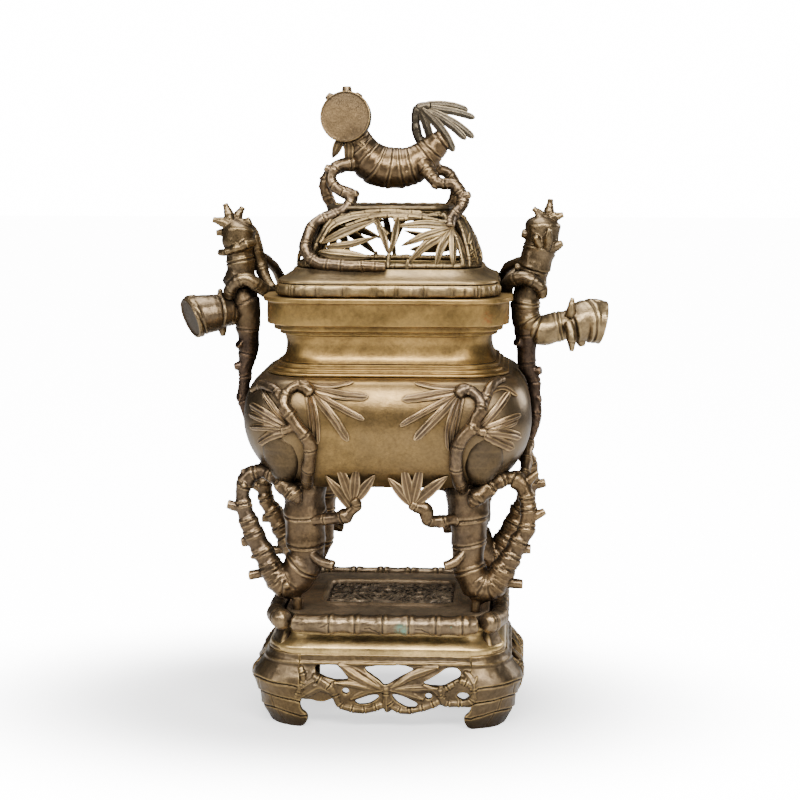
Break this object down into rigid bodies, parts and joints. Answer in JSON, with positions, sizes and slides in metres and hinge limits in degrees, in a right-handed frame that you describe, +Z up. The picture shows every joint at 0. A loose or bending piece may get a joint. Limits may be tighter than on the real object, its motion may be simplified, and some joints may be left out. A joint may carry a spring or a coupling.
{
  "type": "bronze incense burner on stand",
  "caption": "Aged bronze incense burner in bamboo form: rounded rectangular bowl on bamboo legs, upright bamboo handles, pierced domed lid with a bamboo beast finial, and a pierced stand.",
  "frame": {"origin": "bottom centre of the bounding box, on the ground; the stand's own axis is 2.7 mm to the left of it", "axes": "+X right as seen from the front, +Y to the back, +Z up"},
  "size_m": [0.3166, 0.1836, 0.4654],
  "materials": {
    "polished_bronze": "rubbed olive gold bronze, slightly pitted",
    "aged_bronze": "grey brown aged bronze with golden rubbed highlights",
    "dark_bronze": "dark brown patina"
  },
  "bodies": {
    "stand": {"stand_apron_back": "aged_bronze", "stand_apron_front": "aged_bronze", "stand_apron_left": "aged_bronze", "stand_apron_right": "aged_bronze", "stand_foot_back_left": "aged_bronze", "stand_foot_back_right": "aged_bronze", "stand_foot_front_left": "aged_bronze", "stand_foot_front_right": "aged_bronze", "stand_panel": "dark_bronze", "stand_rail_back": "aged_bronze", "stand_rail_front": "aged_bronze", "stand_rail_left": "aged_bronze", "stand_rail_right": "aged_bronze", "stand_top_plate": "dark_bronze", "stand_waist": "polished_bronze"},
    "burner": {"bowl": "polished_bronze", "collar": "polished_bronze", "corner_spray_back_left": "aged_bronze", "corner_spray_back_right": "aged_bronze", "corner_spray_front_left": "aged_bronze", "corner_spray_front_right": "aged_bronze", "handle_left_arm": "aged_bronze", "handle_left_branch": "aged_bronze", "handle_left_post": "aged_bronze", "handle_left_stem": "dark_bronze", "handle_right_arm": "aged_bronze", "handle_right_branch": "aged_bronze", "handle_right_post": "aged_bronze", "handle_right_stem": "dark_bronze", "leg_back_left": "aged_bronze", "leg_back_right": "aged_bronze", "leg_branch_back_left": "aged_bronze", "leg_branch_back_right": "aged_bronze", "leg_branch_front_left": "aged_bronze", "leg_branch_front_right": "aged_bronze", "leg_front_left": "aged_bronze", "leg_front_right": "aged_bronze", "leg_twig_back_left": "aged_bronze", "leg_twig_back_right": "aged_bronze", "leg_twig_front_left": "aged_bronze", "leg_twig_front_right": "aged_bronze", "neck": "polished_bronze", "shoulder": "polished_bronze"},
    "lid": {"dome_cap": "aged_bronze", "dome_grille_back": "aged_bronze", "dome_grille_front": "aged_bronze", "dome_grille_left": "aged_bronze", "dome_grille_right": "aged_bronze", "finial_body": "aged_bronze", "finial_foreleg_far": "aged_bronze", "finial_foreleg_near": "aged_bronze", "finial_head": "aged_bronze", "finial_hindleg_far": "aged_bronze", "finial_hindleg_near": "aged_bronze", "finial_tail_spray": "aged_bronze", "lid_band": "polished_bronze", "lid_slope": "polished_bronze"}
  },
  "joints": [
    {"name": "burner_lift", "type": "slide", "parent": "stand", "child": "burner", "axis": [0, 0, 1], "range_m": [0, 0.12]},
    {"name": "lid_lift", "type": "slide", "parent": "burner", "child": "lid", "axis": [0, 0, 1], "range_m": [0, 0.12]}
  ]
}
